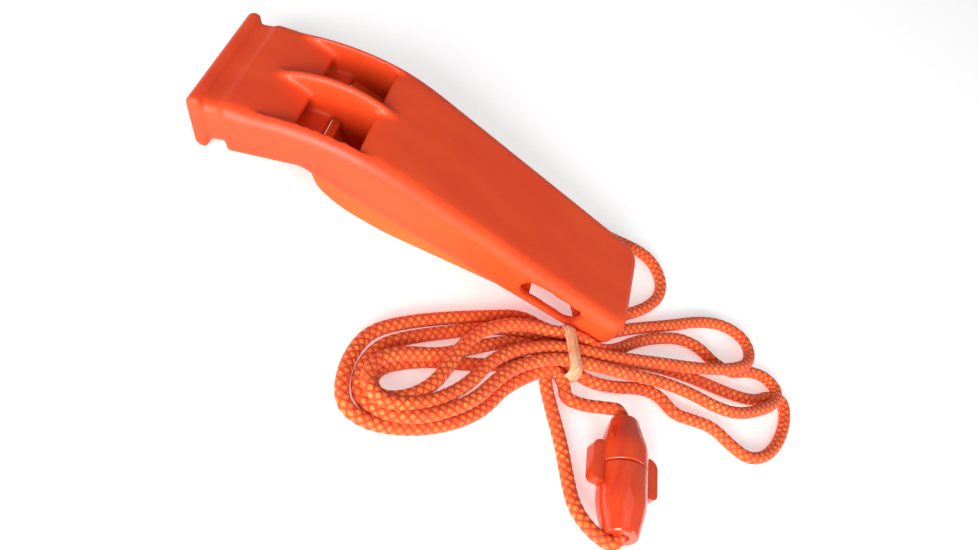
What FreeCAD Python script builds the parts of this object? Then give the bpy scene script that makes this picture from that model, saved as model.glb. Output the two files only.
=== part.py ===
import FreeCAD, Part
import math
import os
import Sketcher

# Flat twin-chamber safety whistle with a hanked braided lanyard and a two-piece breakaway clasp.
# Frame: +X from the mouthpiece to the lanyard end, Y across (the body is symmetric about Y = 0),
# +Z up. The origin lies at the centre of the whistle's footprint, on the surface it lies on.

doc = FreeCAD.newDocument("safety_whistle")
vec = FreeCAD.Vector


# ---------------------------------------------------------------- sizes
SIZES = [
    # whistle body, seen from the side
    ("length", 77.2), ("lip_back", 3.9), ("lip_height", 8.05), ("lip_round", 1.3),
    ("bead_length", 1.9), ("groove_length", 3.0), ("groove_floor", 1.0), ("groove_roof", 7.9),
    ("ramp_rise", 10.35), ("crest_z", 15.7), ("crest_x", 21.06), ("crest_radius", 44.0),
    ("tail_top", 7.75), ("tail_bottom", 2.25), ("bend_x", 18.77), ("bend_z", 6.38),
    ("keel_x", 69.9), ("keel_z", 2.3), ("top_fillet", 2.2), ("bottom_fillet", 0.8),
    # whistle body, seen from above
    ("body_width", 24.4), ("lip_inset", 0.4), ("tail_taper", 4.2), ("taper_start", 25.9),
    ("tail_corner", 3.5), ("wall", 1.8), ("roof", 1.6),
    # chamber, windows, windways and fin
    ("window_front", 15.1), ("window_lip", 24.8), ("window_ledge", 27.7), ("lip_edge_z", 13.45),
    ("windway_height", 1.75), ("windway_in_z", 3.15), ("windway_out_z", 7.7),
    ("chamber_start", 19.5), ("bulkhead_x", 55.9), ("bulkhead", 1.4), ("web", 1.3),
    ("fin_apex_x", 18.23), ("fin_apex_z", 17.6), ("fin_radius", 22.4),
    # bottom cover
    ("cover_gap", 0.06), ("cover_wall", 1.3), ("cover_end", 60.4), ("belly_z", 0.8),
    # lanyard slot
    ("tail_land", 8.0), ("slot_length", 11.6), ("slot_height", 3.6), ("slot_z", 5.7),
    ("slot_drop", 1.2),
    # lanyard
    ("cord_size", 2.1), ("hank_height", 4.4), ("band_wide", 3.0), ("band_thick", 0.7),
    # breakaway clasp
    ("clasp_size", 7.8), ("clasp_z", 3.95), ("plug_length", 8.9), ("socket_length", 10.9),
    ("wing_out", 1.95), ("wing_thick", 1.9), ("wing_reach", 3.4), ("tongue_length", 6.2),
    ("clasp_fit", 0.15), ("clasp_wall", 1.3), ("hole_play", 0.5),
    ("pull_travel", 7.5),
]


class Dim:
    """A size as its value and as the spreadsheet expression that it is bound with."""

    def __init__(self, value, text):
        self.value = float(value)
        self.text = text

    def _join(self, other, sign, swap=False):
        other = other if isinstance(other, Dim) else Dim(other, "%.6g" % other)
        a, b = (other, self) if swap else (self, other)
        values = {"+": lambda: a.value + b.value, "-": lambda: a.value - b.value,
                  "*": lambda: a.value * b.value, "/": lambda: a.value / b.value}
        return Dim(values[sign](), "(%s) %s (%s)" % (a.text, sign, b.text))

    def __add__(self, other):
        return self._join(other, "+")

    def __radd__(self, other):
        return self._join(other, "+", True)

    def __sub__(self, other):
        return self._join(other, "-")

    def __rsub__(self, other):
        return self._join(other, "-", True)

    def __mul__(self, other):
        return self._join(other, "*")

    def __rmul__(self, other):
        return self._join(other, "*", True)

    def __truediv__(self, other):
        return self._join(other, "/")

    def __neg__(self):
        return self * -1


sheet = doc.addObject("Spreadsheet::Sheet", "sizes")
for row, (alias, number) in enumerate(SIZES, 1):
    sheet.set("A%d" % row, alias)
    sheet.set("B%d" % row, str(number))
    sheet.setAlias("B%d" % row, alias)
doc.recompute()
D = {alias: Dim(number, "sizes.%s" % alias) for alias, number in SIZES}


def num(value):
    return value.value if isinstance(value, Dim) else float(value)


def bind(obj, prop, value):
    """Sets a property, and ties it to the sheet when the value comes from there."""
    if isinstance(value, Dim):
        obj.setExpression(prop, value.text)
    else:
        setattr(obj, prop, value)


# ---------------------------------------------------------------- sketches
def origin_plane(body, role):
    return [f for f in body.Origin.OriginFeatures if f.Role == role][0]


def new_sketch(body, name, role, offset=None):
    sketch = body.newObject("Sketcher::SketchObject", name)
    sketch.AttachmentSupport = [(origin_plane(body, role), "")]
    sketch.MapMode = "FlatFace"
    if offset is not None:
        sketch.AttachmentOffset = offset
    return sketch


def tie(sketch, kind, args, value):
    index = sketch.addConstraint(Sketcher.Constraint(kind, *args, num(value)))
    if isinstance(value, Dim):
        sketch.setExpression("Constraints[%d]" % index, value.text)


def corner_arc(before, corner, after, radius):
    """Tangent points and centre of a corner's arc."""
    u = (before - corner).normalize()
    w = (after - corner).normalize()
    half = u.getAngle(w) / 2
    reach = radius / math.tan(half)
    centre = corner + (u + w).normalize() * (radius / math.sin(half))
    return corner + u * reach, corner + w * reach, centre


def outline(sketch, corners):
    """A closed outline of straight lines. A corner is (x, y) or (x, y, radius of its arc)."""
    points = [vec(num(c[0]), num(c[1]), 0) for c in corners]
    count = len(points)
    ends = []
    for i, corner in enumerate(corners):
        if len(corner) == 3:
            first, last, centre = corner_arc(points[i - 1], points[i], points[(i + 1) % count],
                                             num(corner[2]))
            ends.append((first, last, centre))
        else:
            ends.append((points[i], points[i], None))
    base = sketch.GeometryCount
    for i in range(count):
        sketch.addGeometry(Part.LineSegment(ends[i][1], ends[(i + 1) % count][0]), False)
    for i, corner in enumerate(corners):
        before = base + (i - 1) % count
        after = base + i
        if len(corner) == 2:
            sketch.addConstraint(Sketcher.Constraint("Coincident", before, 2, after, 1))
            tie(sketch, "DistanceX", (-1, 1, after, 1), corner[0])
            tie(sketch, "DistanceY", (-1, 1, after, 1), corner[1])
            continue
        first, last, centre = ends[i]
        turns_left = (points[i] - points[i - 1]).cross(points[(i + 1) % count] - points[i]).z > 0
        start, stop = (first - centre, last - centre) if turns_left else (last - centre, first - centre)
        ring = Part.Circle(centre, vec(0, 0, 1), num(corner[2]))
        arc = sketch.addGeometry(Part.ArcOfCircle(
            ring, math.atan2(start.y, start.x), math.atan2(stop.y, stop.x)), False)
        mark = sketch.addGeometry(Part.Point(points[i]), True)
        one, two = (1, 2) if turns_left else (2, 1)
        sketch.addConstraint(Sketcher.Constraint("Tangent", before, 2, arc, one))
        sketch.addConstraint(Sketcher.Constraint("Tangent", after, 1, arc, two))
        sketch.addConstraint(Sketcher.Constraint("PointOnObject", mark, 1, before))
        sketch.addConstraint(Sketcher.Constraint("PointOnObject", mark, 1, after))
        tie(sketch, "DistanceX", (-1, 1, mark, 1), corner[0])
        tie(sketch, "DistanceY", (-1, 1, mark, 1), corner[1])
        tie(sketch, "Radius", (arc,), corner[2])


def pad(body, name, sketch, length, symmetric=True, back=False):
    feature = body.newObject("PartDesign::Pad", name)
    feature.Profile = sketch
    feature.Midplane = symmetric
    feature.Reversed = back
    bind(feature, "Length", length)
    doc.recompute()
    return feature


def pocket(body, name, sketch, length, symmetric=True, back=False):
    before = body.Shape.Volume
    feature = body.newObject("PartDesign::Pocket", name)
    feature.Profile = sketch
    feature.Midplane = symmetric
    feature.Reversed = back
    bind(feature, "Length", length)
    doc.recompute()
    if body.Shape.Volume > before - 0.01:
        raise RuntimeError("%s cuts nothing" % name)
    return feature


def side_body(name, corners, width):
    """A body padded from a side profile, equally to both sides of the middle plane."""
    body = doc.addObject("PartDesign::Body", name)
    sketch = new_sketch(body, name + "_side", "XZ_Plane")
    outline(sketch, corners)
    doc.recompute()
    pad(body, name + "_pad", sketch, width)
    return body


def trim_plan(body, corners):
    """Cuts away all that lies outside a plan outline, which is given for +Y and mirrored."""
    sketch = new_sketch(body, body.Name + "_plan", "XY_Plane")
    far = D["length"] * 2
    outline(sketch, [(-far, -far), (far, -far), (far, far), (-far, far)])
    mirrored = [(c[0], -c[1]) + tuple(c[2:]) for c in reversed(corners)]
    outline(sketch, list(corners) + mirrored)
    doc.recompute()
    pocket(body, body.Name + "_trim", sketch, far)


def fillet(body, name, radius, chosen):
    """A fillet on the edges of the body's shape that the test picks."""
    tip = body.Tip
    names = ["Edge%d" % (i + 1) for i, e in enumerate(tip.Shape.Edges) if chosen(e)]
    feature = body.newObject("PartDesign::Fillet", name)
    feature.Base = (tip, names)
    bind(feature, "Radius", radius)
    doc.recompute()
    return feature


def combine(kind, name, base, tool):
    feature = doc.addObject(kind, name)
    feature.Base = base
    feature.Tool = tool
    doc.recompute()
    return feature


# ---------------------------------------------------------------- whistle body
half = D["length"] / 2
slot_end = D["length"] - D["tail_land"]
slot_start = slot_end - D["slot_length"]
mouth_x = -half + D["lip_back"]
tail_x = half
mouth_width = D["body_width"] - D["lip_inset"]
tail_width = D["body_width"] - D["tail_taper"]
floor_gap = 0.51
slant = math.hypot(num(D["lip_back"]), num(D["lip_height"]))
axis_x = num(D["lip_height"]) / slant
axis_z = num(D["lip_back"]) / slant
lean = math.degrees(math.atan2(axis_z, axis_x))


def along_mouth(run, rise):
    """A point of the side view, given along and across the tilted mouthpiece."""
    return mouth_x + run * axis_x - rise * axis_z, run * axis_z + rise * axis_x - floor_gap


def at(offset_x, z, *radius):
    """A point of the side view, given from the tip of the lip."""
    return (offset_x - half, z) + radius


outer = side_body("outer", [
    (mouth_x, -floor_gap, D["lip_round"]),
    along_mouth(D["bead_length"], 0.15),
    at(D["bend_x"], D["bend_z"], 2.5),
    at(D["keel_x"], D["keel_z"], 30),
    (tail_x, D["tail_bottom"]),
    (tail_x, D["tail_top"]),
    at(D["crest_x"], D["crest_z"], D["crest_radius"]),
    at(8.9, D["ramp_rise"], 6),
    along_mouth(D["bead_length"], 8.9),
    (-half - 0.41, D["lip_height"] - floor_gap, 1.0),
], D["length"])
trim_plan(outer, [
    (-half - 5, -mouth_width / 2),
    (-half + D["taper_start"], -D["body_width"] / 2, 60),
    (tail_x, -tail_width / 2, D["tail_corner"]),
])


def is_rim_edge(edge, above):
    """True for edges where the top or the underside of the body meets its sides and tail."""
    first, last = edge.ParameterRange
    point = edge.valueAt(first * 0.45 + last * 0.55)
    taper = (num(D["body_width"]) - num(tail_width)) / 2
    tapered = max(0, point.x + num(half) - num(D["taper_start"]))
    edge_y = num(D["body_width"]) / 2 - tapered * taper / (num(D["length"]) - num(D["taper_start"]))
    rim = abs(point.y) > edge_y - 0.3 or point.x > num(half) - num(D["tail_corner"])
    upright = edge.BoundBox.ZLength > 4 and edge.BoundBox.XLength < 4
    middle = 6.0 if point.x > -18 else 6.6 + 0.42 * (point.x + 34)
    if not rim or upright or point.x < -31:
        return False
    return (point.z > middle) == above and abs(point.z - middle) > 0.8


bead_end = along_mouth(num(D["bead_length"]), 0)
mouth_plane = FreeCAD.Placement(
    vec(0, num(bead_end[1]), num(bead_end[0])), FreeCAD.Rotation(vec(1, 0, 0), -lean))
ring = new_sketch(outer, "groove_ring", "YZ_Plane", mouth_plane)
wide = mouth_width / 2
neck = wide - 0.45
outline(ring, [(-wide * 2, -9), (wide * 2, -9), (wide * 2, 18), (-wide * 2, 18)])
outline(ring, [(-neck, D["groove_floor"], 1.4), (neck, D["groove_floor"], 1.4),
               (neck, D["groove_roof"], 1.4), (-neck, D["groove_roof"], 1.4)])
doc.recompute()
pocket(outer, "groove", ring, D["groove_length"], symmetric=False, back=True)
fillet(outer, "top_round", D["top_fillet"], lambda e: is_rim_edge(e, True))
fillet(outer, "bottom_round", D["bottom_fillet"], lambda e: is_rim_edge(e, False))

# Hollow space under the roof: the twin sound chambers and the open tail.
inner_front = D["body_width"] / 2 - D["wall"]
inner_tail = tail_width / 2 - D["wall"]
inner_plan = [
    (-half + 5, -inner_front),
    (-half + D["taper_start"], -inner_front, 60),
    (tail_x - D["wall"], -inner_tail, 1.4),
]
slope = (D["crest_z"] - D["tail_top"]) / (D["length"] - D["crest_x"])


def roof_z(offset_x):
    """Height of the ceiling below the long straight part of the top face."""
    return D["tail_top"] + (D["length"] - offset_x) * slope - D["roof"]


chamber = side_body("chamber", [
    at(D["window_front"], D["windway_out_z"] - D["windway_height"] / 2),
    at(D["window_front"], D["windway_out_z"] + D["windway_height"] / 2),
    at(D["window_lip"], D["lip_edge_z"] - 0.15),
    at(28.2, 12.45),
    at(33.5, roof_z(33.5), 6),
    at(D["bulkhead_x"], roof_z(D["bulkhead_x"]), 1.0),
    at(D["bulkhead_x"], -3),
    at(D["chamber_start"], -3),
    at(D["chamber_start"], 8.25, 0.6),
], D["length"])
trim_plan(chamber, inner_plan)
bay_x = D["bulkhead_x"] + D["bulkhead"]
tail_bay = side_body("tail_bay", [
    at(bay_x, -3),
    (tail_x - D["wall"] - 0.2, -3),
    (tail_x - D["wall"] - 0.2, roof_z(D["length"] - 2), 1.0),
    at(bay_x, roof_z(bay_x), 1.0),
], D["length"])
trim_plan(tail_bay, inner_plan)

# Windway slots, sound windows and the lanyard slot, cut from side to side.
way_half = D["windway_height"] / 2
windways = side_body("windways", [
    at(-1.0, D["windway_in_z"] - way_half),
    at(D["window_front"] + 0.1, D["windway_out_z"] - way_half),
    at(D["window_front"] + 0.1, D["windway_out_z"] + way_half),
    at(-1.0, D["windway_in_z"] + way_half),
], inner_front * 2 - 1.6)
windows = side_body("windows", [
    at(8.4, D["ramp_rise"] - 0.12),
    at(12.1, 10.25, 5),
    at(D["window_front"], 9.85),
    at(D["window_front"], 8.6),
    at(D["window_lip"], 11.6),
    at(D["window_lip"], D["lip_edge_z"]),
    at(D["window_ledge"], 14.6),
    at(D["window_ledge"], 24),
    at(8.4, 24),
], inner_front * 2)
slot_half = D["slot_height"] / 2
slot_round = slot_half - 0.05
slot_drop = D["slot_drop"] / 2
slot = side_body("slot", [
    at(slot_start, D["slot_z"] + slot_drop - slot_half, slot_round),
    at(slot_end, D["slot_z"] - slot_drop - slot_half, slot_round),
    at(slot_end, D["slot_z"] - slot_drop + slot_half, slot_round),
    at(slot_start, D["slot_z"] + slot_drop + slot_half, slot_round),
], D["length"])

# Centre web between the two chambers, with the fin that stands up along the top.
web = side_body("web", [
    at(8.8, 10.15),
    at(D["fin_apex_x"], D["fin_apex_z"], D["fin_radius"]),
    at(29.9, 13.9),
    at(32, 12.9),
    at(D["bulkhead_x"] + 0.6, 9.6),
    at(D["bulkhead_x"] + 0.6, 5.6),
    at(D["bulkhead_x"] - 1.55, 5.6),
    at(D["bulkhead_x"] - 1.55, 3.75),
    at(34.9, D["belly_z"] + D["cover_wall"] + 0.1, 24),
    at(28.0, D["belly_z"] + D["cover_wall"] + 0.65, 14),
    at(23.6, 4.15, 4),
    at(21.05, 6.9),
    at(21.05, 8.15),
    at(18.9, 7.8),
    at(14.9, 6.3),
    at(3.3, 1.85),
    at(2.2, 4.5),
], D["web"])

solid = combine("Part::Cut", "shell_hollow", outer, chamber)
solid = combine("Part::Cut", "shell_bay", solid, tail_bay)
solid = combine("Part::Cut", "shell_windways", solid, windways)
solid = combine("Part::Cut", "shell_windows", solid, windows)
solid = combine("Part::Cut", "shell_slot", solid, slot)
whistle_shell = combine("Part::Fuse", "whistle_shell", solid, web)

# Inset bottom cover: a tray that closes both chambers from below.
cover_half = inner_front - D["cover_gap"]
cover_plan = [
    (-half + 5, -cover_half),
    (-half + D["taper_start"], -cover_half, 60),
    (tail_x - D["wall"], -(inner_tail - D["cover_gap"])),
]
cover_x = D["chamber_start"] + D["cover_gap"]
end_x = D["bulkhead_x"] - D["cover_gap"]
under_bulkhead = 3.15
cover = side_body("cover_block", [
    at(cover_x, 7.7),
    at(cover_x, 6.1),
    at(22.4, 2.85, 6),
    at(27.5, D["belly_z"] + 0.45, 20),
    at(34.9, D["belly_z"] - 0.05, 30),
    at(D["cover_end"], 2.5),
    at(D["cover_end"], under_bulkhead),
    at(end_x, under_bulkhead),
    at(end_x, 5.4),
], D["length"])
trim_plan(cover, cover_plan)
thick = D["cover_wall"]
tray_half = cover_half - thick
tray = side_body("cover_tray", [
    at(cover_x + thick, 12),
    at(cover_x + thick, 6.6),
    at(23.4, 3.9, 5),
    at(28.0, D["belly_z"] + 0.45 + thick, 18),
    at(34.9, D["belly_z"] - 0.05 + thick, 28),
    at(end_x - thick, 2.3 + thick),
    at(end_x - thick, 12),
], D["length"])
trim_plan(tray, [
    (-half + 5, -tray_half),
    (-half + D["taper_start"], -tray_half, 60),
    (tail_x - D["wall"], -(inner_tail - D["cover_gap"] - thick)),
])
bottom_cover = combine("Part::Cut", "bottom_cover", cover, tray)


# ---------------------------------------------------------------- breakaway clasp
# Each half is drawn upright on its own axis, with the split plane at zero, and then laid down.
clasp_split = vec(43.36, -32.25, num(D["clasp_z"]))
clasp_axis = vec(-0.108, 0.994, 0)
across = vec(0.994, 0.108, 0)
lay_down = FreeCAD.Placement(
    clasp_split, FreeCAD.Rotation(across, across.cross(clasp_axis) * -1, clasp_axis, "ZXY"))


def turned_body(name, corners):
    """A body turned about its upright axis from a half profile."""
    body = doc.addObject("PartDesign::Body", name)
    sketch = new_sketch(body, name + "_profile", "XZ_Plane")
    outline(sketch, corners)
    doc.recompute()
    feature = body.newObject("PartDesign::Revolution", name + "_turn")
    feature.Profile = sketch
    feature.ReferenceAxis = (sketch, ["V_Axis"])
    feature.Angle = 360
    doc.recompute()
    return body


def slab_body(name, corners, thickness):
    """A flat plate through the axis, drawn as its front view."""
    body = doc.addObject("PartDesign::Body", name)
    sketch = new_sketch(body, name + "_front", "XZ_Plane")
    outline(sketch, corners)
    doc.recompute()
    pad(body, name + "_pad", sketch, thickness)
    return body


big = D["clasp_size"] / 2
bore = (D["cord_size"] + D["hole_play"]) / 2
nest = D["clasp_size"] * 0.275 + D["clasp_fit"]
fit = D["clasp_fit"]
top_end = D["plug_length"]
dome = turned_body("plug_dome", [
    (bore, top_end, 0.3),
    (bore, top_end - 1.6),
    (nest, top_end - 2.4),
    (nest, 2.6),
    (bore, 2.6),
    (bore, fit / 2),
    (big, fit / 2, 0.3),
    (big, 3.6, 6),
    (big - 0.9, top_end - 2.6, 3),
    (bore + 0.85, top_end, 0.6),
])
wing = big + D["wing_out"]
reach = D["wing_reach"]
tongue = big - D["clasp_wall"] - 0.35
shoulder = nest + 0.3
wings = slab_body("plug_wings", [
    (-wing, -reach, 1.0), (-tongue, -reach),
    (-tongue + 0.4, -D["tongue_length"], 0.8), (tongue - 0.4, -D["tongue_length"], 0.8),
    (tongue, -reach), (wing, -reach, 1.0),
    (wing, reach, 1.5), (shoulder, reach),
    (shoulder, 2.6), (-shoulder, 2.6),
    (-shoulder, reach), (-wing, reach, 1.5),
], D["wing_thick"])
clasp_plug = combine("Part::Fuse", "clasp_plug", dome, wings)
clasp_plug.Placement = lay_down

low_end = -D["socket_length"]
bullet = turned_body("socket_bullet", [
    (bore, low_end, 0.2),
    (big - 1.2, low_end, 0.5),
    (big, -6.0, 12),
    (big, -fit / 2, 0.3),
    (big - D["clasp_wall"], -fit / 2),
    (big - D["clasp_wall"], -6.4),
    (nest, -7.0),
    (nest, low_end + 1.9),
    (bore, low_end + 1.2),
])
ports = slab_body("socket_ports", [
    (-wing, -reach - fit), (wing, -reach - fit), (wing, reach), (-wing, reach),
], D["wing_thick"] + D["clasp_fit"] * 2)
clasp_socket = combine("Part::Cut", "clasp_socket", bullet, ports)
clasp_socket.Placement = lay_down


# ---------------------------------------------------------------- lanyard cord
def rounded_route(points, closed=False):
    """Straight runs joined by tangent arcs, each as large as its two runs allow."""
    points = [vec(*p) for p in points]
    count = len(points)
    inner = range(count) if closed else range(1, count - 1)
    cuts = {}
    radii = []
    for i in inner:
        before, here, after = points[i - 1], points[i], points[(i + 1) % count]
        u, w = before - here, after - here
        half_turn = (math.pi - u.getAngle(w)) / 2
        radius = 0.45 * min(u.Length, w.Length) / math.tan(half_turn)
        first, last, centre = corner_arc(before, here, after, radius)
        cuts[i] = (first, centre + (here - centre).normalize() * radius, last)
        radii.append(radius)
    edges = []
    for i in range(count if closed else count - 1):
        k = (i + 1) % count
        start = cuts[i][2] if i in cuts else points[i]
        stop = cuts[k][0] if k in cuts else points[k]
        edges.append(Part.LineSegment(start, stop).toShape())
        if k in cuts:
            edges.append(Part.Arc(*cuts[k]).toShape())
    return Part.Wire(edges), radii


def cord_tube(name, points):
    """A plain round tube of the cord's size along a route."""
    wire, radii = rounded_route(points)
    size = num(D["cord_size"]) / 2
    start = vec(*points[0])
    circle = Part.Wire(Part.makeCircle(size, start, vec(*points[1]) - start))
    tube = wire.makePipeShell([circle], True, False)
    expected = math.pi * size ** 2 * wire.Length
    print("%-14s %5.1f mm long, tightest arc %.1f mm, volume / (section x length) %.4f" % (
        name, wire.Length, min(radii), tube.Volume / expected))
    feature = doc.addObject("Part::Feature", name)
    feature.Shape = tube
    feature.Placement = FreeCAD.Placement()
    return feature


lay = num(D["cord_size"]) / 2 + 0.05
clasp_high = num(D["clasp_z"])
plug_end = clasp_split + clasp_axis * num(D["plug_length"])
socket_end = clasp_split - clasp_axis * num(D["socket_length"])

# From the hank's edge up into the open tail, out through the far end of the lanyard slot, and
# round the tail back to the hank.
TAIL_LOOP = [
    (33.0, -6.4, lay), (29.6, -1.6, 2.2), (27.0, 2.8, 4.6), (26.4, 7.2, 5.75), (28.6, 11.4, 5.3),
    (32.6, 14.4, 4.2), (37.2, 16.6, 2.6), (41.6, 17.6, 1.5), (45.4, 16.4, lay),
    (47.6, 13.0, lay), (47.5, 9.0, lay), (45.6, 5.4, lay), (42.9, 2.2, lay), (39.6, -0.9, lay),
]

# The two short legs that hold the clasp halves. Each ends in the knot inside its half. The
# lower one starts in a straight channel under the hank, so that it can follow its half out.
knot_top = plug_end - clasp_axis * 2.7
knot_low = socket_end + clasp_axis * 2.05
UPPER_LEG = [
    (32.4, -19.85, lay), (32.9, -22.7, lay), (36.3, -22.3, 1.3), (39.3, -21.7, 2.5),
    tuple(plug_end + clasp_axis * 2.0), tuple(knot_top),
]
LOWER_LEG = [
    (27.75, -14.2, lay), (28.45, -20.6, lay), (30.9, -25.6, lay), (33.9, -31.0, lay),
    (36.0, -36.2, lay), (37.6, -40.3, 1.6), (40.4, -43.6, 2.9),
    tuple(socket_end - clasp_axis * 1.9), tuple(knot_low),
]
tail_loop = cord_tube("tail_loop", TAIL_LOOP)
upper_leg = cord_tube("upper_leg", UPPER_LEG)
lower_leg = cord_tube("lower_leg", LOWER_LEG)

# The hank: the outer shape of its lower strands, and of the strands that lie on top of them.
HANK_LOW = [
    (33.2, -6.8), (37.0, -3.4), (40.6, -0.6), (42.6, 0.8), (50.0, 5.0), (56.3, 9.4), (61.5, 11.4),
    (66.3, 10.8), (68.4, 7.4), (72.2, 5.0), (76.2, 2.6), (77.7, -2.0), (76.9, -6.9), (74.2, -11.8),
    (70.6, -14.9), (66.6, -15.9), (61.3, -14.5), (54.2, -14.9), (49.0, -13.6), (44.4, -15.4),
    (39.2, -17.6), (33.8, -18.9), (28.5, -22.2), (24.4, -25.4), (22.4, -30.0), (20.2, -33.9),
    (16.3, -38.2), (12.0, -41.2), (8.0, -43.1), (4.0, -43.9), (0.5, -43.0), (-2.1, -39.6),
    (-2.3, -34.0), (-0.7, -28.2), (4.2, -23.2), (10.2, -18.6), (19.8, -12.0), (23.8, -9.2),
    (28.5, -8.6),
]
HANK_TOP = [
    (33.8, -10.9), (39.6, -11.2), (43.4, -6.0), (52.0, -2.6), (60.0, -1.2), (66.0, -0.2),
    (71.6, 1.4), (75.0, -2.2), (74.4, -7.4), (71.8, -11.8), (67.6, -13.6), (60.0, -12.4),
    (52.0, -12.2), (45.0, -13.8), (39.0, -15.9), (33.8, -17.2), (28.4, -20.6), (22.6, -24.6),
    (20.4, -28.2), (18.2, -32.6), (14.4, -37.0), (9.0, -40.4), (4.6, -41.6), (1.6, -40.6),
    (0.2, -37.4), (0.9, -31.0), (5.0, -26.0), (15.2, -18.6), (21.2, -13.8), (28.0, -11.6),
]
HANK_GAPS = [
    [(54.3, 4.6), (57.6, 6.9), (61.5, 8.7), (64.7, 8.2), (65.7, 6.4), (64.9, 4.1), (62.2, 2.2),
     (58.2, 3.4)],
    [(62.6, -6.4), (66.2, -5.2), (69.8, -3.4), (69.2, -2.0), (65.6, -3.4), (62.2, -5.2)],
    [(4.9, -28.9), (7.1, -26.9), (6.6, -24.8), (4.6, -26.2)],
    [(5.2, -36.4), (7.9, -34.0), (7.6, -31.6), (4.6, -33.4)],
]


def slab_of(points, low, high):
    wire, radii = rounded_route([(x, y, low) for x, y in points], closed=True)
    return Part.Face(wire).extrude(vec(0, 0, high - low))


hank_high = num(D["hank_height"])
layer = hank_high / 2
hank_low = slab_of(HANK_LOW, 0.05, layer - 0.05)
hank_shape = hank_low.fuse(slab_of(HANK_TOP, layer - 0.25, hank_high))
for gap in HANK_GAPS:
    hank_shape = hank_shape.cut(slab_of(gap, -1, hank_high + 1))

# The waist that the rubber band is wound on, across the strands.
band_centre = vec(31.05, -15.25, 0)
strand = vec(0.931, 0.365, 0)
side = vec(-0.365, 0.931, 0)
band_place = FreeCAD.Placement(band_centre, FreeCAD.Rotation(side, vec(0, 0, 1), strand, "ZXY"))
waist_wide = 7.4
thin = num(D["band_thick"])
waist_high = hank_high - 0.2 - thin * 2


def band_ring(outside, inside, length):
    """A rounded rectangular ring round the strands, drawn across them."""
    faces = []
    for grow in (outside, inside):
        wide_half = waist_wide / 2 + grow
        low, high = thin + 0.1 - grow, thin + 0.1 + waist_high + grow
        wire, _ = rounded_route([
            (-wide_half, low, -length / 2), (-wide_half + 1.5, low - 0.01, -length / 2),
            (wide_half - 1.5, low - 0.01, -length / 2), (wide_half, low, -length / 2),
            (wide_half, high, -length / 2), (-wide_half, high, -length / 2)], closed=True)
        faces.append(Part.Face(wire))
    ring_face = faces[0].cut(faces[1])
    shape = ring_face.extrude(vec(0, 0, length))
    shape.Placement = band_place
    return shape


def channel(start, stop, high):
    """A straight square channel on the floor between two points."""
    start, stop = vec(start[0], start[1], 0), vec(stop[0], stop[1], 0)
    wide = num(D["cord_size"]) + 1.2
    box = Part.makeBox((stop - start).Length, wide, high + 1, vec(0, -wide / 2, -1))
    box.Placement = FreeCAD.Placement(
        start, FreeCAD.Rotation(vec(1, 0, 0), stop - start))
    return box


hank_shape = hank_shape.cut(band_ring(7, 0, num(D["band_wide"]) + 0.2))
hank_shape = hank_shape.cut(channel((27.7, -13.7), (28.5, -21.1), 2.6))
hank_shape = hank_shape.cut(channel((28.45, -20.6), (30.9, -25.6), 2.6))
cord_hank = doc.addObject("Part::Feature", "cord_hank")
cord_hank.Shape = hank_shape
cord_hank.Placement = FreeCAD.Placement()
rubber_band = doc.addObject("Part::Feature", "rubber_band")
rubber_band.Shape = band_ring(thin, 0.01, num(D["band_wide"]))


def knot_body(name, low, high):
    """A stopper knot, as a rounded barrel on a clasp half's axis."""
    fat = D["clasp_size"] * 0.275
    body = turned_body(name, [(0, low), (fat, low, 0.9), (fat, high, 0.9), (0, high)])
    body.Placement = lay_down
    return body


plug_knot = knot_body("plug_knot", 2.75, num(D["plug_length"]) - 2.7)
socket_knot = knot_body("socket_knot", -num(D["socket_length"]) + 2.05, -6.45)

# The whole lanyard is drawn for a tail end at x = 38.6, and follows the tail when it moves.
LANYARD = [clasp_plug, clasp_socket, tail_loop, upper_leg, lower_leg, cord_hank, rubber_band,
           plug_knot, socket_knot]
follow = FreeCAD.Placement(vec(num(half) - 38.6, 0, 0), FreeCAD.Rotation())
for item in LANYARD:
    item.Placement = follow.multiply(item.Placement)

# ---------------------------------------------------------------- checks and export
NODES = [whistle_shell, bottom_cover, clasp_plug, clasp_socket, tail_loop, upper_leg, lower_leg,
         cord_hank, rubber_band, plug_knot, socket_knot]
doc.recompute()
for item in doc.Objects:
    if "Invalid" in item.State or "Error" in item.State:
        raise RuntimeError("%s failed: %s" % (item.Name, item.State))
os.makedirs("parts", exist_ok=True)
for item in NODES:
    item.Label = item.Name
    shape = item.Shape
    if shape.isNull() or not shape.isValid() or len(shape.Solids) != 1:
        raise RuntimeError("%s has no single valid solid" % item.Name)
    shape.exportStep("parts/%s.step" % item.Name)
    print("%-14s %8.1f mm3" % (item.Name, shape.Volume))
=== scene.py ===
import math
import bmesh
import bpy
from mathutils import Matrix, Vector


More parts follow.
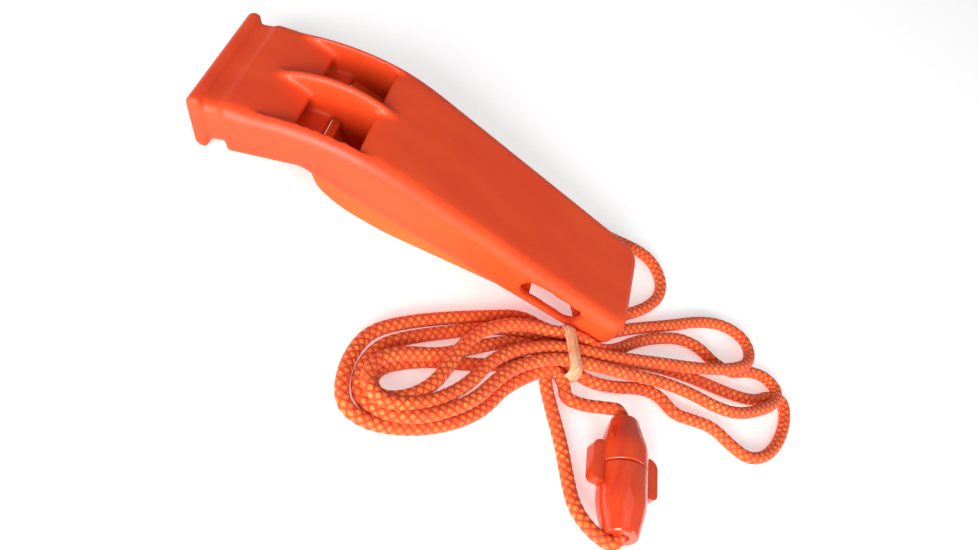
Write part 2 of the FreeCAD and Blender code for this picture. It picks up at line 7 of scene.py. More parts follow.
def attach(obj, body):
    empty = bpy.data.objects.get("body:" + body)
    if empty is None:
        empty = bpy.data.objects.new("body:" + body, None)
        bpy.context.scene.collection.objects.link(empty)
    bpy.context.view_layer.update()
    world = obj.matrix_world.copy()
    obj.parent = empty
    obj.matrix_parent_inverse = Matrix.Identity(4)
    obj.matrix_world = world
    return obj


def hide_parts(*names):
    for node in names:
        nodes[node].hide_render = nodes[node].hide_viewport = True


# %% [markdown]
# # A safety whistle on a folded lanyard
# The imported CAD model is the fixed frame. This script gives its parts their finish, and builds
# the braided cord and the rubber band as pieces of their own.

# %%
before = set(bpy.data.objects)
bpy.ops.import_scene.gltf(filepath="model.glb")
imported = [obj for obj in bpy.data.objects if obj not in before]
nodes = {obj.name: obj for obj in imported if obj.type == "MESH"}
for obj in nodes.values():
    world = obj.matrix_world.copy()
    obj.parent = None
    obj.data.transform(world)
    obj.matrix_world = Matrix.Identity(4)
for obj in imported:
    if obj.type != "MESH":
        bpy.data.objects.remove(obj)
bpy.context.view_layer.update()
print("CAD nodes:", sorted(nodes))

# %% [markdown]
# ## Camera
# The camera stands close to the near side, about 45 degrees up, and is rolled about 42 degrees,
# so the level whistle runs from the upper left to the lower right of the view. Its axes are
# given as three directions, because a roll is easier to read that way than as Euler angles.

# %%
MM = 0.001
camera_data = bpy.data.cameras.new("camera")
camera = bpy.data.objects.new("camera", camera_data)
bpy.context.scene.collection.objects.link(camera)
bpy.context.scene.camera = camera
camera_data.sensor_width = 36
camera_data.lens = 34.97
right = Vector((0.85106, 0.21610, 0.47854)).normalized()
up = Vector((-0.47504, 0.70517, 0.52638)).normalized()
back = right.cross(up)
turn = Matrix((right, up, back)).transposed().to_4x4()
camera.matrix_world = Matrix.Translation(Vector((-19.95, -112.59, 110.78)) * MM) @ turn
camera_data.clip_start = 0.005
print("camera at", camera.location)

# %% [markdown]
# ## The cord's route
# A lanyard is one soft braided cord. It could be simulated, but a listed route keeps every
# loop where it belongs. It runs from the knot in the clasp's plug, through the hank's loops
# and the whistle's tail, to a hidden end beside the start of the lower leg. Each loop has its
# own list of points. LOW and TOP are the middle heights of the two layers, in millimetres.

# %%
CORD = 2.1
LOW = 1.1
TOP = 3.2
clasp_split = Vector((43.36, -32.25, 3.95))
clasp_axis = Vector((-0.108, 0.994, 0)).normalized()
plug_end = clasp_split + clasp_axis * 8.9
socket_end = clasp_split - clasp_axis * 10.9
band_centre = Vector((31.05, -15.25, 0))
strand = Vector((0.931, 0.365, 0)).normalized()
side = Vector((-0.365, 0.931, 0)).normalized()


BAND_RUN = 2.6


def under_band(across, height, leftward):
    """Two route points, one each side of the band, for a strand that runs through it."""
    middle = band_centre + side * across + Vector((0, 0, height))
    ends = [middle - strand * BAND_RUN, middle + strand * BAND_RUN]
    return [tuple(p) for p in (reversed(ends) if leftward else ends)]


upper_leg = [
    tuple(plug_end - clasp_axis * 2.7), tuple(plug_end + clasp_axis * 2.0),
    (39.3, -21.7, 2.5), (36.3, -22.3, 1.3), (32.9, -22.7, LOW), (32.3, -20.0, LOW),
]
loop_outer = [
    (29.4, -18.9, 1.9), (25.8, -22.4, 1.6), (22.4, -26.8, LOW), (20.9, -30.6, LOW),
    (18.9, -33.8, LOW), (15.5, -37.3, LOW), (11.7, -40.0, LOW), (8.0, -41.8, LOW),
    (4.2, -42.9, LOW), (0.6, -42.2, LOW), (-1.0, -39.0, LOW), (-1.3, -33.8, LOW),
    (0.2, -28.6, LOW), (4.9, -23.9, LOW), (10.8, -19.4, LOW), (17.2, -15.0, LOW),
    (22.2, -11.7, LOW),
]
tail_loop = [
    (33.4, -7.4, LOW), (29.6, -1.6, 2.2), (27.0, 2.8, 4.6), (26.6, 6.8, 5.75), (28.6, 10.4, 5.3),
    (32.6, 12.9, 3.9), (37.0, 15.2, 2.4), (41.4, 17.0, 1.4), (45.0, 16.6, LOW),
    (47.6, 13.0, LOW), (47.5, 9.0, LOW), (45.6, 5.4, LOW), (42.9, 2.2, LOW), (39.6, -0.9, LOW),
    (36.6, -5.2, LOW), (36.0, -10.4, LOW),
]
loop_inner = [
    (24.0, -20.6, LOW), (19.2, -24.0, LOW), (14.6, -26.4, LOW), (10.2, -28.4, LOW),
    (6.4, -31.0, LOW), (3.4, -33.6, LOW), (2.6, -36.8, 1.3), (4.6, -39.0, 2.0),
    (8.0, -37.6, 2.9), (11.0, -33.9, TOP), (12.4, -29.6, TOP), (13.1, -26.0, TOP),
    (14.7, -22.2, TOP), (17.4, -18.4, TOP), (21.6, -15.2, TOP),
]
loop_b = [
    (36.4, -11.6, 2.7), (40.2, -8.6, 1.6), (44.0, -4.0, LOW), (48.2, -0.6, LOW),
    (53.0, 2.2, LOW), (57.2, 2.6, LOW), (60.6, 0.9, LOW), (64.6, 0.9, LOW), (68.4, 3.6, LOW),
    (72.4, 4.6, LOW), (75.0, 2.4, 1.5), (73.6, -1.8, 2.2), (70.0, -5.4, 2.6),
    (65.4, -8.8, 2.8), (60.6, -10.2, 3.0), (55.0, -10.3, 3.1), (49.0, -11.2, 3.1),
    (42.0, -13.6, TOP),
]
loop_nested = [
    (25.4, -20.7, TOP), (21.8, -24.6, TOP), (19.8, -28.4, TOP), (17.9, -32.4, TOP),
    (14.3, -36.5, 3.0), (10.3, -39.6, 2.6), (6.2, -41.0, 1.9), (2.6, -40.4, 1.3),
    (1.1, -37.8, LOW), (1.0, -34.0, LOW), (2.5, -29.8, LOW), (6.6, -25.8, LOW),
    (12.2, -21.4, LOW), (18.2, -16.8, LOW), (23.6, -14.4, LOW),
]
loop_a = [
    (36.8, -7.0, LOW), (42.4, -2.0, LOW), (50.1, 3.5, LOW), (56.8, 8.8, LOW),
    (62.4, 11.3, LOW), (66.8, 10.6, 1.3), (68.2, 7.0, 1.8), (66.6, 2.8, 2.6),
    (61.8, -1.0, 3.0), (55.4, -4.5, 3.1), (49.4, -7.1, 3.1), (42.2, -10.4, TOP),
    (37.4, -12.6, TOP),
]
loop_middle = [
    (24.2, -18.8, TOP), (20.6, -21.9, TOP), (17.9, -26.1, TOP), (16.3, -30.4, TOP),
    (13.2, -34.8, TOP), (9.5, -38.0, TOP), (5.4, -40.0, 3.1), (2.2, -39.0, 3.0),
    (1.5, -35.8, 2.9), (3.2, -32.4, 2.8), (6.8, -29.8, 2.5), (11.0, -27.4, 2.0),
    (16.0, -22.6, 1.5), (20.8, -18.2, 1.2), (24.6, -16.6, LOW),
]
loop_c = [
    (40.0, -10.6, LOW), (48.0, -7.0, LOW), (56.4, -5.0, LOW), (64.2, -4.0, LOW),
    (69.8, -2.6, LOW), (73.4, 0.6, LOW), (76.6, 1.4, LOW), (77.2, -2.6, LOW),
    (76.0, -7.8, LOW), (73.4, -12.6, LOW), (69.4, -15.4, LOW), (65.4, -14.6, LOW),
    (61.4, -12.9, LOW), (57.2, -13.7, LOW), (53.2, -14.6, LOW), (50.0, -12.4, LOW),
    (45.8, -13.2, LOW), (41.2, -15.8, LOW), (36.2, -17.4, LOW), (31.6, -16.4, LOW),
    (28.2, -14.4, LOW),
]
MAIN_ROUTE = (
    upper_leg + loop_outer + under_band(4.6, LOW, False)
    + tail_loop + under_band(-1.7, LOW, True)
    + loop_inner + under_band(3.2, 3.1, False)
    + loop_b + under_band(-1.8, TOP, True)
    + loop_nested + under_band(2.5, LOW, False)
    + loop_a + under_band(0.4, TOP, True)
    + loop_middle + under_band(0.4, LOW, False)
    + loop_c
)
LOWER_ROUTE = [
    (27.75, -14.2, LOW), (28.45, -20.6, LOW), (30.9, -25.6, LOW), (33.9, -31.0, LOW),
    (36.0, -36.2, LOW), (37.6, -40.3, 1.6), (40.4, -43.6, 2.9),
    tuple(socket_end - clasp_axis * 1.9), tuple(socket_end + clasp_axis * 2.05),
]


# %% [markdown]
# ## From route to line
# A NURBS spline rounds the corners of a route in the way that a soft cord does. Blender works
# the spline out, and its points are read back from a mesh of the bare curve.

# %%
def route_line(name, route):
    """The smooth line of a route: an open NURBS spline, read back as points in metres."""
    curve = bpy.data.curves.new(name, "CURVE")
    curve.dimensions = "3D"
    curve.resolution_u = 24
    spline = curve.splines.new("NURBS")
    spline.points.add(len(route) - 1)
    for point, (x, y, z) in zip(spline.points, route):
        point.co = (x * MM, y * MM, z * MM, 1)
    spline.order_u = 3
    spline.use_endpoint_u = True
    holder = bpy.data.objects.new(name, curve)
    bpy.context.scene.collection.objects.link(holder)
    bpy.context.view_layer.update()
    mesh = bpy.data.meshes.new_from_object(holder)
    line = [v.co.copy() for v in mesh.vertices]
    bpy.data.objects.remove(holder)
    bpy.data.meshes.remove(mesh)
    return line


def even_steps(line, step):
    """The same line with points an even step apart."""
    points = [line[0].copy()]
    left = step
    for a, b in zip(line, line[1:]):
        run = (b - a).length
        while run > left:
            a = a + (b - a) * (left / run)
            points.append(a.copy())
            run = (b - a).length
            left = step
        left -= run
    if (points[-1] - line[-1]).length > step / 2:
        points.append(line[-1].copy())
    else:
        points[-1] = line[-1].copy()
    return points


def line_length(line):
    return sum((b - a).length for a, b in zip(line, line[1:]))


# %% [markdown]
# ## The braided tube
# A braid is bundles of fibre that pass over and under each other. A smooth tube with a bump map
# would have a flat outline, so the tube's own rings rise on the crowns and sink in the grooves.
# The UV map counts plaits, so that the colours fall on the same crowns.

# %%
PLAITS = 4
PLAIT_RUN = 1.4 * MM
GROOVE_SIZE = 0.95
CROWN_RISE = 0.09


def braid_relief(around, along):
    """Height of an over-and-under diamond braid, from 0 in its grooves to 1 on its crowns."""
    one = around + along
    two = around - along
    a, b = one - math.floor(one), two - math.floor(two)
    over = (math.floor(one) + math.floor(two)) % 2
    across, length = (a, b) if over else (b, a)
    return math.sin(math.pi * across) * (0.55 + 0.45 * math.sin(math.pi * length))


def cord_mesh(name, line, diameter, step, sides):
    """A braided tube along a line, with a UV map: around the cord, and along it in plaits."""
    points = even_steps(line, step)
    radius = diameter / 2
    mesh = bpy.data.meshes.new(name)
    bm = bmesh.new()
    uv = bm.loops.layers.uv.new("braid")
    rings = []
    tangent = (points[1] - points[0]).normalized()
    normal = tangent.orthogonal().normalized()
    for i, point in enumerate(points):
        ahead = points[min(i + 1, len(points) - 1)] - points[max(i - 1, 0)]
        new_tangent = ahead.normalized()
        normal = (normal - new_tangent * normal.dot(new_tangent)).normalized()
        binormal = new_tangent.cross(normal)
        ring = []
        for k in range(sides):
            angle = 2 * math.pi * k / sides
            out = normal * math.cos(angle) + binormal * math.sin(angle)
            relief = braid_relief(PLAITS * k / sides, i * step / PLAIT_RUN)
            ring.append(bm.verts.new(point + out * radius * (GROOVE_SIZE + CROWN_RISE * relief)))
        rings.append(ring)
    for i in range(len(rings) - 1):
        for k in range(sides):
            n = (k + 1) % sides
            face = bm.faces.new((rings[i][k], rings[i][n], rings[i + 1][n], rings[i + 1][k]))
            face.smooth = True
            corners = [(k, i), (k + 1, i), (k + 1, i + 1), (k, i + 1)]
            for loop, (u, v) in zip(face.loops, corners):
                loop[uv].uv = (u / sides, v * step / PLAIT_RUN)
    for ring, flip in ((rings[0], True), (rings[-1], False)):
        bm.faces.new(list(reversed(ring)) if flip else ring)
    bmesh.ops.recalc_face_normals(bm, faces=bm.faces)
    bm.to_mesh(mesh)
    bm.free()
    piece = bpy.data.objects.new(name, mesh)
    bpy.context.scene.collection.objects.link(piece)
    return piece


# %%
MAIN_STEP, MAIN_SIDES = 0.26 * MM, 20
LOWER_STEP, LOWER_SIDES = 0.2 * MM, 24
main_line = route_line("main_route", MAIN_ROUTE)
lower_line = route_line("lower_route", LOWER_ROUTE)
print("main cord %.4f m, lower leg %.4f m" % (line_length(main_line), line_length(lower_line)))
main_cord = cord_mesh("lanyard_cord", main_line, CORD * MM, MAIN_STEP, MAIN_SIDES)
lower_cord = cord_mesh("lower_leg_cord", lower_line, CORD * MM, LOWER_STEP, LOWER_SIDES)
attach(main_cord, "whistle")
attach(lower_cord, "socket_half")
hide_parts("cord_hank", "tail_loop", "upper_leg")
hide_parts("lower_leg")

# %% [markdown]
# ## The rubber band
# A band of latex, wound three times round the waist of the hank. One ring would look like a
# clip, so each wrap is its own flat loop. They lie together on top and splay apart below.

# %%
BAND_HALF_THICK = 0.24
CORNER_STEPS = 8
WRAP_SIDES = 12


def band_wrap(bm, lean, shift, wide, grow):
    """One closed flat wrap round the strands."""
    half_wide, low, high, corner = 4.3 + grow, 0.32 - grow * 0.3, 4.35 + grow, 1.3
    outline = []
    corners = [(half_wide, low, -90), (half_wide, high, 0), (-half_wide, high, 90),
               (-half_wide, low, 180)]
    for x, z, start in corners:
        cx = x - math.copysign(corner, x)
        cz = low + corner if z == low else high - corner
        for k in range(CORNER_STEPS + 1):
            angle = math.radians(start + 90 * k / CORNER_STEPS)
            outline.append((cx + corner * math.cos(angle), cz + corner * math.sin(angle),
                            math.cos(angle), math.sin(angle)))
    rings = []
    for x, z, nx, nz in outline:
        along = shift + lean * (high - z) / (high - low)
        middle = band_centre + side * x + strand * along + Vector((0, 0, z))
        out = side * nx + Vector((0, 0, nz))
        ring = []
        for k in range(WRAP_SIDES):
            angle = 2 * math.pi * k / WRAP_SIDES
            flat = strand * (wide / 2 * math.cos(angle))
            thick = out * (BAND_HALF_THICK * math.sin(angle))
            ring.append(bm.verts.new((middle + flat + thick) * MM))
        rings.append(ring)
    for ring, after in zip(rings, rings[1:] + rings[:1]):
        for k in range(WRAP_SIDES):
            n = (k + 1) % WRAP_SIDES
            bm.faces.new((ring[k], ring[n], after[n], after[k])).smooth = True


# %%
band_mesh = bpy.data.meshes.new("band_wraps")
bm = bmesh.new()
band_wrap(bm, -0.75, -0.55, 1.15, 0.0)
band_wrap(bm, 0.85, 0.5, 1.15, 0.03)
band_wrap(bm, 0.1, 0.0, 1.3, 0.16)
bmesh.ops.recalc_face_normals(bm, faces=bm.faces)
bm.to_mesh(band_mesh)
bm.free()
band = bpy.data.objects.new("band_wraps", band_mesh)
bpy.context.scene.collection.objects.link(band)
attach(band, "whistle")
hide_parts("rubber_band")
print("band", len(band_mesh.polygons), "faces")

# %% [markdown]
# ## The shell with its edges eased
# The shell is one moulding, and a mould leaves no sharp edges. A Bevel fails on the CAD node's
# loose triangles, so a copy stands in for it. The copy is cut into small even faces and relaxed
# a little, which softens the bead, the groove, the fin and the windows alike.

# %%
def eased_copy(name, node, cell, rounds):
    """A finely divided copy of a CAD node, with its edges rounded by a few smoothing rounds."""
    rough = bpy.data.objects.new(name + "_cells", node.data.copy())
    bpy.context.scene.collection.objects.link(rough)
    remesh = rough.modifiers.new("cells", "REMESH")
    remesh.mode = "VOXEL"
    remesh.voxel_size = cell * MM
    bpy.context.view_layer.update()
    mesh = bpy.data.meshes.new_from_object(
        rough.evaluated_get(bpy.context.evaluated_depsgraph_get()))
    bpy.data.objects.remove(rough)
    mesh.name = name
    bm = bmesh.new()
    bm.from_mesh(mesh)
    for _ in range(rounds):
        bmesh.ops.smooth_vert(bm, verts=bm.verts, factor=0.5, use_axis_x=True,
                              use_axis_y=True, use_axis_z=True)
    bmesh.ops.recalc_face_normals(bm, faces=bm.faces)
    for face in bm.faces:
        face.smooth = True
    open_edges = sum(1 for e in bm.edges if len(e.link_faces) != 2)
    bm.to_mesh(mesh)
    bm.free()
    piece = bpy.data.objects.new(name, mesh)
    bpy.context.scene.collection.objects.link(piece)
    print(name, len(mesh.polygons), "faces,", open_edges, "open edges")
    return piece


# %%
SHELL_CELL = 0.36
SHELL_ROUNDS = 4
shell = eased_copy("shell_eased", nodes["whistle_shell"], SHELL_CELL, SHELL_ROUNDS)
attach(shell, "whistle")
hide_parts("whistle_shell")

# %% [markdown]
# ## Materials
# Each finish is a named node group that gives the shader its colours and values. The short
# helpers below add one node each, so that a finish reads from top to bottom.

# %%
def new_group(name, outputs):
    """An empty shader node group, and the group output node that its outputs go to."""
    group = bpy.data.node_groups.new(name, "ShaderNodeTree")
    for label, kind in outputs:
        group.interface.new_socket(name=label, in_out="OUTPUT", socket_type=kind)
    return group, group.nodes.new("NodeGroupOutput")


def value_node(group, operation, a, b=None, c=None):
    """A math node. Its inputs are numbers or other nodes' outputs."""
    node = group.nodes.new("ShaderNodeMath")
    node.operation = operation
    for socket, given in zip(node.inputs, (a, b, c)):
        if given is None:
            continue
        if isinstance(given, (int, float)):
            socket.default_value = given
        else:
            group.links.new(given, socket)
    return node.outputs[0]


def mix_color(group, factor, low, high):
    """A colour mix. Each colour is a triple or another node's output."""
    node = group.nodes.new("ShaderNodeMix")
    node.data_type = "RGBA"
    if isinstance(factor, (int, float)):
        node.inputs["Factor"].default_value = factor
    else:
        group.links.new(factor, node.inputs["Factor"])
    for label, given in (("A", low), ("B", high)):
        socket = [s for s in node.inputs if s.name == label and s.type == "RGBA"][0]
        if isinstance(given, tuple):
            socket.default_value = (*given, 1)
        else:
            group.links.new(given, socket)
    return [s for s in node.outputs if s.type == "RGBA"][0]


def noise(group, coords, scale, detail=3.0, rough=0.5):
    node = group.nodes.new("ShaderNodeTexNoise")
    node.inputs["Scale"].default_value = scale
    node.inputs["Detail"].default_value = detail
    node.inputs["Roughness"].default_value = rough
    group.links.new(coords, node.inputs["Vector"])
    return node.outputs["Fac"]


def fit_range(group, value, low, high, to_low=0.0, to_high=1.0):
    node = group.nodes.new("ShaderNodeMapRange")
    group.links.new(value, node.inputs["Value"])
    node.inputs["From Min"].default_value = low
    node.inputs["From Max"].default_value = high
    node.inputs["To Min"].default_value = to_low
    node.inputs["To Max"].default_value = to_high
    return node.outputs["Result"]


def material_from(name, group, **uniform):
    """A material whose Principled shader is fed by a group's outputs of the same names."""
    mat = bpy.data.materials.new(name)
    mat.use_nodes = True
    tree = mat.node_tree
    shader = tree.nodes["Principled BSDF"]
    node = tree.nodes.new("ShaderNodeGroup")
    node.node_tree = group
    for output in node.outputs:
        if output.name == "Height":
            bump = tree.nodes.new("ShaderNodeBump")
            bump.inputs["Distance"].default_value = uniform.pop("bump_distance", 0.0001)
            bump.inputs["Strength"].default_value = uniform.pop("bump_strength", 1.0)
            tree.links.new(output, bump.inputs["Height"])
            tree.links.new(bump.outputs["Normal"], shader.inputs["Normal"])
        else:
            tree.links.new(output, shader.inputs[output.name])
    for label, value in uniform.items():
        shader.inputs[label.replace("_", " ")].default_value = value
    return mat


# %% [markdown]
# Braided cord: diamonds of fibre bundles that pass over and under, with painted shade that
# darkens the grooves, and paler flecks on the crowns.

# %%
def braid_group():
    group, out = new_group("braided_fibre", [
        ("Base Color", "NodeSocketColor"), ("Roughness", "NodeSocketFloat"),
        ("Height", "NodeSocketFloat")])
    uv = group.nodes.new("ShaderNodeUVMap")
    uv.uv_map = "braid"
    split = group.nodes.new("ShaderNodeSeparateXYZ")
    group.links.new(uv.outputs["UV"], split.inputs[0])
    around = value_node(group, "MULTIPLY", split.outputs[0], float(PLAITS))
    one = value_node(group, "ADD", around, split.outputs[1])
    two = value_node(group, "SUBTRACT", around, split.outputs[1])
    parity = value_node(group, "MODULO", value_node(
        group, "ADD", value_node(group, "FLOOR", one), value_node(group, "FLOOR", two)), 2.0)
    parity = value_node(group, "ABSOLUTE", parity)
    wave_one = value_node(group, "ABSOLUTE", value_node(
        group, "SINE", value_node(group, "MULTIPLY", one, math.pi)))
    wave_two = value_node(group, "ABSOLUTE", value_node(
        group, "SINE", value_node(group, "MULTIPLY", two, math.pi)))
    crown = value_node(group, "MULTIPLY", wave_one, wave_two)
    crown = value_node(group, "POWER", crown, 0.7)
    fine = group.nodes.new("ShaderNodeTexCoord").outputs["Object"]
    fibre = noise(group, fine, 5200, 2.0, 0.6)
    blotch = noise(group, fine, 420, 3.0, 0.6)
    ridges = value_node(group, "SINE", value_node(group, "MULTIPLY", value_node(
        group, "ADD", value_node(group, "MULTIPLY", one, value_node(group, "SUBTRACT", 1.0, parity)),
        value_node(group, "MULTIPLY", two, parity)), math.pi * 6))
    # Painted shade: the colour darkens from the crowns down into the grooves between them.
    painted_groove_shade = mix_color(group, fit_range(group, crown, 0.1, 0.75), (0.60, 0.030, 0.006),
                       (0.94, 0.145, 0.012))
    over = mix_color(group, value_node(group, "MULTIPLY", parity, 0.45), painted_groove_shade,
                     (0.90, 0.085, 0.008))
    fleck = value_node(group, "MULTIPLY", fit_range(group, crown, 0.55, 0.95),
                       fit_range(group, blotch, 0.42, 0.62))
    color = mix_color(group, value_node(group, "MULTIPLY", fleck, 0.75), over,
                      (1.0, 0.40, 0.040))
    shade = mix_color(group, fit_range(group, fibre, 0.35, 0.7, 0.0, 0.25), color,
                      (0.74, 0.045, 0.008))
    group.links.new(shade, out.inputs["Base Color"])
    group.links.new(fit_range(group, crown, 0.0, 1.0, 0.85, 0.55), out.inputs["Roughness"])
    height = value_node(group, "ADD", crown, value_node(group, "MULTIPLY", ridges, 0.12))
    height = value_node(group, "ADD", height, value_node(group, "MULTIPLY", fibre, 0.15))
    group.links.new(height, out.inputs["Height"])
    return group


cord_material = material_from("braided_orange_cord", braid_group(), bump_distance=0.00016,
                              bump_strength=0.7)
cord_material.node_tree.nodes["Principled BSDF"].inputs["Sheen Weight"].default_value = 0.15

# %% [markdown]
# Knots inside the clasp: the same fibre, wound tight, in each knot's own space, with painted shade that
# darkens the hollows between the turns.

# %%
def knot_group():
    group, out = new_group("wound_fibre", [
        ("Base Color", "NodeSocketColor"), ("Roughness", "NodeSocketFloat"),
        ("Height", "NodeSocketFloat")])
    coords = group.nodes.new("ShaderNodeTexCoord").outputs["Object"]
    wave = group.nodes.new("ShaderNodeTexWave")
    wave.bands_direction = "DIAGONAL"
    wave.inputs["Scale"].default_value = 260
    wave.inputs["Distortion"].default_value = 3.0
    wave.inputs["Detail"].default_value = 2.0
    group.links.new(coords, wave.inputs["Vector"])
    turn_relief_and_shade = wave.outputs["Fac"]
    fibre = noise(group, coords, 4200, 2.0, 0.6)
    # Painted shade: the colour darkens into the hollows between the wound turns.
    color = mix_color(group, turn_relief_and_shade, (0.42, 0.016, 0.006), (0.90, 0.11, 0.012))
    color = mix_color(group, fit_range(group, fibre, 0.5, 0.75, 0.0, 0.5), color, (1.0, 0.28, 0.03))
    group.links.new(color, out.inputs["Base Color"])
    group.links.new(fit_range(group, turn_relief_and_shade, 0.0, 1.0, 0.85, 0.6), out.inputs["Roughness"])
    group.links.new(value_node(group, "ADD", turn_relief_and_shade, value_node(
        group, "MULTIPLY", fibre, 0.2)), out.inputs["Height"])
    return group


knot_material = material_from("wound_orange_knot", knot_group(), bump_distance=0.0003)

# %% [markdown]
# Moulded plastic: a satin red-orange with faint flow streaks along the whistle, fine grain,
# and a few pale rubs.

# %%
def moulded_group(name, deep, bright, streak_scale):
    group, out = new_group(name, [
        ("Base Color", "NodeSocketColor"), ("Roughness", "NodeSocketFloat"),
        ("Height", "NodeSocketFloat")])
    coords = group.nodes.new("ShaderNodeTexCoord").outputs["Object"]
    stretch = group.nodes.new("ShaderNodeMapping")
    stretch.inputs["Scale"].default_value = (0.22, 1.0, 1.0)
    group.links.new(coords, stretch.inputs["Vector"])
    flow = noise(group, stretch.outputs["Vector"], streak_scale, 4.0, 0.55)
    cloud = noise(group, coords, 38, 3.0, 0.5)
    grain = noise(group, coords, 2600, 2.0, 0.6)
    scuff = noise(group, stretch.outputs["Vector"], 900, 5.0, 0.75)
    tone = value_node(group, "ADD", value_node(group, "MULTIPLY", flow, 0.55),
                      value_node(group, "MULTIPLY", cloud, 0.45))
    color = mix_color(group, fit_range(group, tone, 0.36, 0.62), deep, bright)
    rub = fit_range(group, scuff, 0.66, 0.74, 0.0, 0.30)
    color = mix_color(group, rub, color, (0.95, 0.24, 0.09))
    group.links.new(color, out.inputs["Base Color"])
    rough = value_node(group, "ADD", fit_range(group, tone, 0.3, 0.7, 0.44, 0.56),
                       value_node(group, "MULTIPLY", rub, 0.35))
    group.links.new(rough, out.inputs["Roughness"])
    height = value_node(group, "ADD", grain, value_node(group, "MULTIPLY", flow, 0.6))
    group.links.new(height, out.inputs["Height"])
    return group


def softly_lit(mat, weight, reach):
    """A little light passes into the plastic."""
    shader = mat.node_tree.nodes["Principled BSDF"]
    shader.inputs["Subsurface Weight"].default_value = weight
    shader.inputs["Subsurface Radius"].default_value = (1.0, 0.22, 0.06)
    shader.inputs["Subsurface Scale"].default_value = reach
    return mat


shell_material = softly_lit(material_from(
    "satin_orange_shell", moulded_group("moulded_shell", (0.76, 0.046, 0.006), (0.84, 0.074, 0.008), 150),
    bump_distance=0.00002, bump_strength=0.5), 0.12, 0.0015)
cover_material = softly_lit(material_from(
    "satin_orange_cover", moulded_group("moulded_cover", (0.80, 0.070, 0.004), (0.88, 0.110, 0.005), 190),
    bump_distance=0.00002, bump_strength=0.5), 0.12, 0.0015)

# %% [markdown]
# Clasp plastic: glossy and a little see-through, with faint cloudiness and flow lines.

# %%
def clasp_group():
    group, out = new_group("clear_orange", [
        ("Base Color", "NodeSocketColor"), ("Roughness", "NodeSocketFloat"),
        ("Height", "NodeSocketFloat")])
    coords = group.nodes.new("ShaderNodeTexCoord").outputs["Object"]
    stretch = group.nodes.new("ShaderNodeMapping")
    stretch.inputs["Scale"].default_value = (1.0, 0.2, 1.0)
    group.links.new(coords, stretch.inputs["Vector"])
    flow = noise(group, stretch.outputs["Vector"], 700, 3.0, 0.5)
    cloud = noise(group, coords, 160, 2.0, 0.5)
    color = mix_color(group, fit_range(group, flow, 0.35, 0.65), (0.88, 0.048, 0.008),
                      (0.96, 0.085, 0.012))
    color = mix_color(group, fit_range(group, cloud, 0.5, 0.7, 0.0, 0.35), color, (0.97, 0.13, 0.03))
    group.links.new(color, out.inputs["Base Color"])
    group.links.new(fit_range(group, cloud, 0.3, 0.7, 0.07, 0.16), out.inputs["Roughness"])
    group.links.new(flow, out.inputs["Height"])
    return group


clasp_material = softly_lit(material_from(
    "glossy_clear_orange", clasp_group(), bump_distance=0.00006, bump_strength=0.6,
    Transmission_Weight=0.3, Coat_Weight=0.6, IOR=1.5), 0.3, 0.002)
clasp_material.node_tree.nodes["Principled BSDF"].inputs["Coat Roughness"].default_value = 0.05

# %% [markdown]
# Rubber band: pale latex with a chalky bloom and fine lengthwise stretch marks.

# %%
def latex_group():
    group, out = new_group("pale_latex", [
        ("Base Color", "NodeSocketColor"), ("Roughness", "NodeSocketFloat"),
        ("Height", "NodeSocketFloat")])
    coords = group.nodes.new("ShaderNodeTexCoord").outputs["Object"]
    turned = group.nodes.new("ShaderNodeMapping")
    turned.inputs["Rotation"].default_value = (0, 0, math.radians(-21.4))
    turned.inputs["Scale"].default_value = (1.0, 0.12, 0.2)
    group.links.new(coords, turned.inputs["Vector"])
    marks = noise(group, turned.outputs["Vector"], 3200, 3.0, 0.6)
    bloom = noise(group, coords, 500, 3.0, 0.6)
    color = mix_color(group, fit_range(group, marks, 0.35, 0.65), (0.80, 0.26, 0.12),
                      (0.93, 0.46, 0.26))
    color = mix_color(group, fit_range(group, bloom, 0.5, 0.72, 0.0, 0.5), color, (0.96, 0.62, 0.42))
    group.links.new(color, out.inputs["Base Color"])
    group.links.new(fit_range(group, bloom, 0.3, 0.7, 0.45, 0.7), out.inputs["Roughness"])
    group.links.new(marks, out.inputs["Height"])
    return group


band_material = softly_lit(material_from(
    "pale_rubber", latex_group(), bump_distance=0.00005, bump_strength=0.8), 0.3, 0.001)


def dress(obj, mat):
    obj.data.materials.clear()
    obj.data.materials.append(mat)


for name, mat in (("whistle_shell", shell_material), ("bottom_cover", cover_material),
                  ("clasp_plug", clasp_material), ("clasp_socket", clasp_material),
                  ("plug_knot", knot_material), ("socket_knot", knot_material),
                  ("cord_hank", knot_material), ("tail_loop", knot_material),
                  ("upper_leg", knot_material), ("lower_leg", knot_material),
                  ("rubber_band", band_material)):
    dress(nodes[name], mat)
dress(main_cord, cord_material)
dress(lower_cord, cord_material)
dress(band, band_material)
dress(shell, shell_material)
print("materials", len(bpy.data.materials))

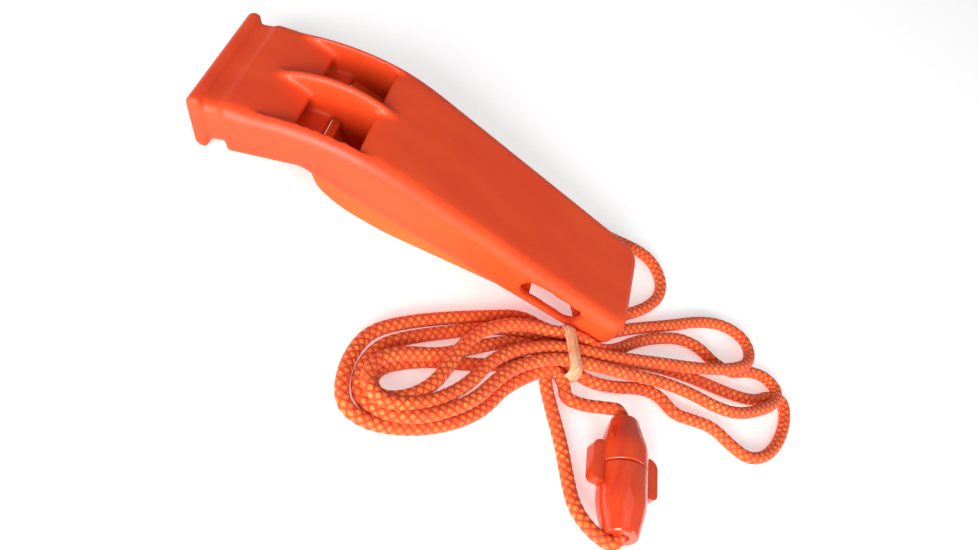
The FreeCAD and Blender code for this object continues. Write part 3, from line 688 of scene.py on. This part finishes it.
# %% [markdown]
# ## Floor and light
# A plain pale floor that glows a little, a large soft light low on the near side, two weaker
# ones, and an even white surround.

# %%
floor_mesh = bpy.data.meshes.new("floor")
bm = bmesh.new()
bmesh.ops.create_grid(bm, x_segments=1, y_segments=1, size=3)
bm.to_mesh(floor_mesh)
bm.free()
FLOOR_DROP = 0.1 * MM
floor = bpy.data.objects.new("floor", floor_mesh)
bpy.context.scene.collection.objects.link(floor)
floor.location.z = -FLOOR_DROP
floor_material = bpy.data.materials.new("pale_floor")
floor_material.use_nodes = True
floor_shader = floor_material.node_tree.nodes["Principled BSDF"]
floor_shader.inputs["Base Color"].default_value = (0.92, 0.92, 0.92, 1)
floor_shader.inputs["Roughness"].default_value = 0.9
floor_shader.inputs["Emission Color"].default_value = (1, 1, 1, 1)
floor_shader.inputs["Emission Strength"].default_value = 0.38
dress(floor, floor_material)


def area_light(name, where, size, power):
    data = bpy.data.lights.new(name, "AREA")
    data.size = size
    data.energy = power
    lamp = bpy.data.objects.new(name, data)
    bpy.context.scene.collection.objects.link(lamp)
    lamp.location = where
    aim = Vector((0.02, -0.01, 0)) - Vector(where)
    lamp.rotation_euler = aim.to_track_quat("-Z", "Y").to_euler()
    return lamp


area_light("key", (-0.15, -0.60, 0.20), 0.35, 6.5)
area_light("top", (0.05, 0.05, 0.75), 0.5, 0.4)
area_light("right", (0.50, -0.30, 0.25), 0.2, 1.2)
world = bpy.data.worlds.new("world")
bpy.context.scene.world = world
world.use_nodes = True
world.node_tree.nodes["Background"].inputs[0].default_value = (1, 1, 1, 1)
world.node_tree.nodes["Background"].inputs[1].default_value = 0.30
bpy.context.scene.view_settings.view_transform = "Standard"

# %% [markdown]
# ## The cords' points at an even step
# The main cord runs from the plug's knot to its hidden end, and its length is all its loops.
# The lower leg is the same cord's other end, which travels with the socket. Both lines are worked out
# again at an even step.

# %%
PATH_STEP = 1.0 * MM
[tuple(p) for p in even_steps(main_line, PATH_STEP)]
[tuple(p) for p in even_steps(lower_line, PATH_STEP / 2)]
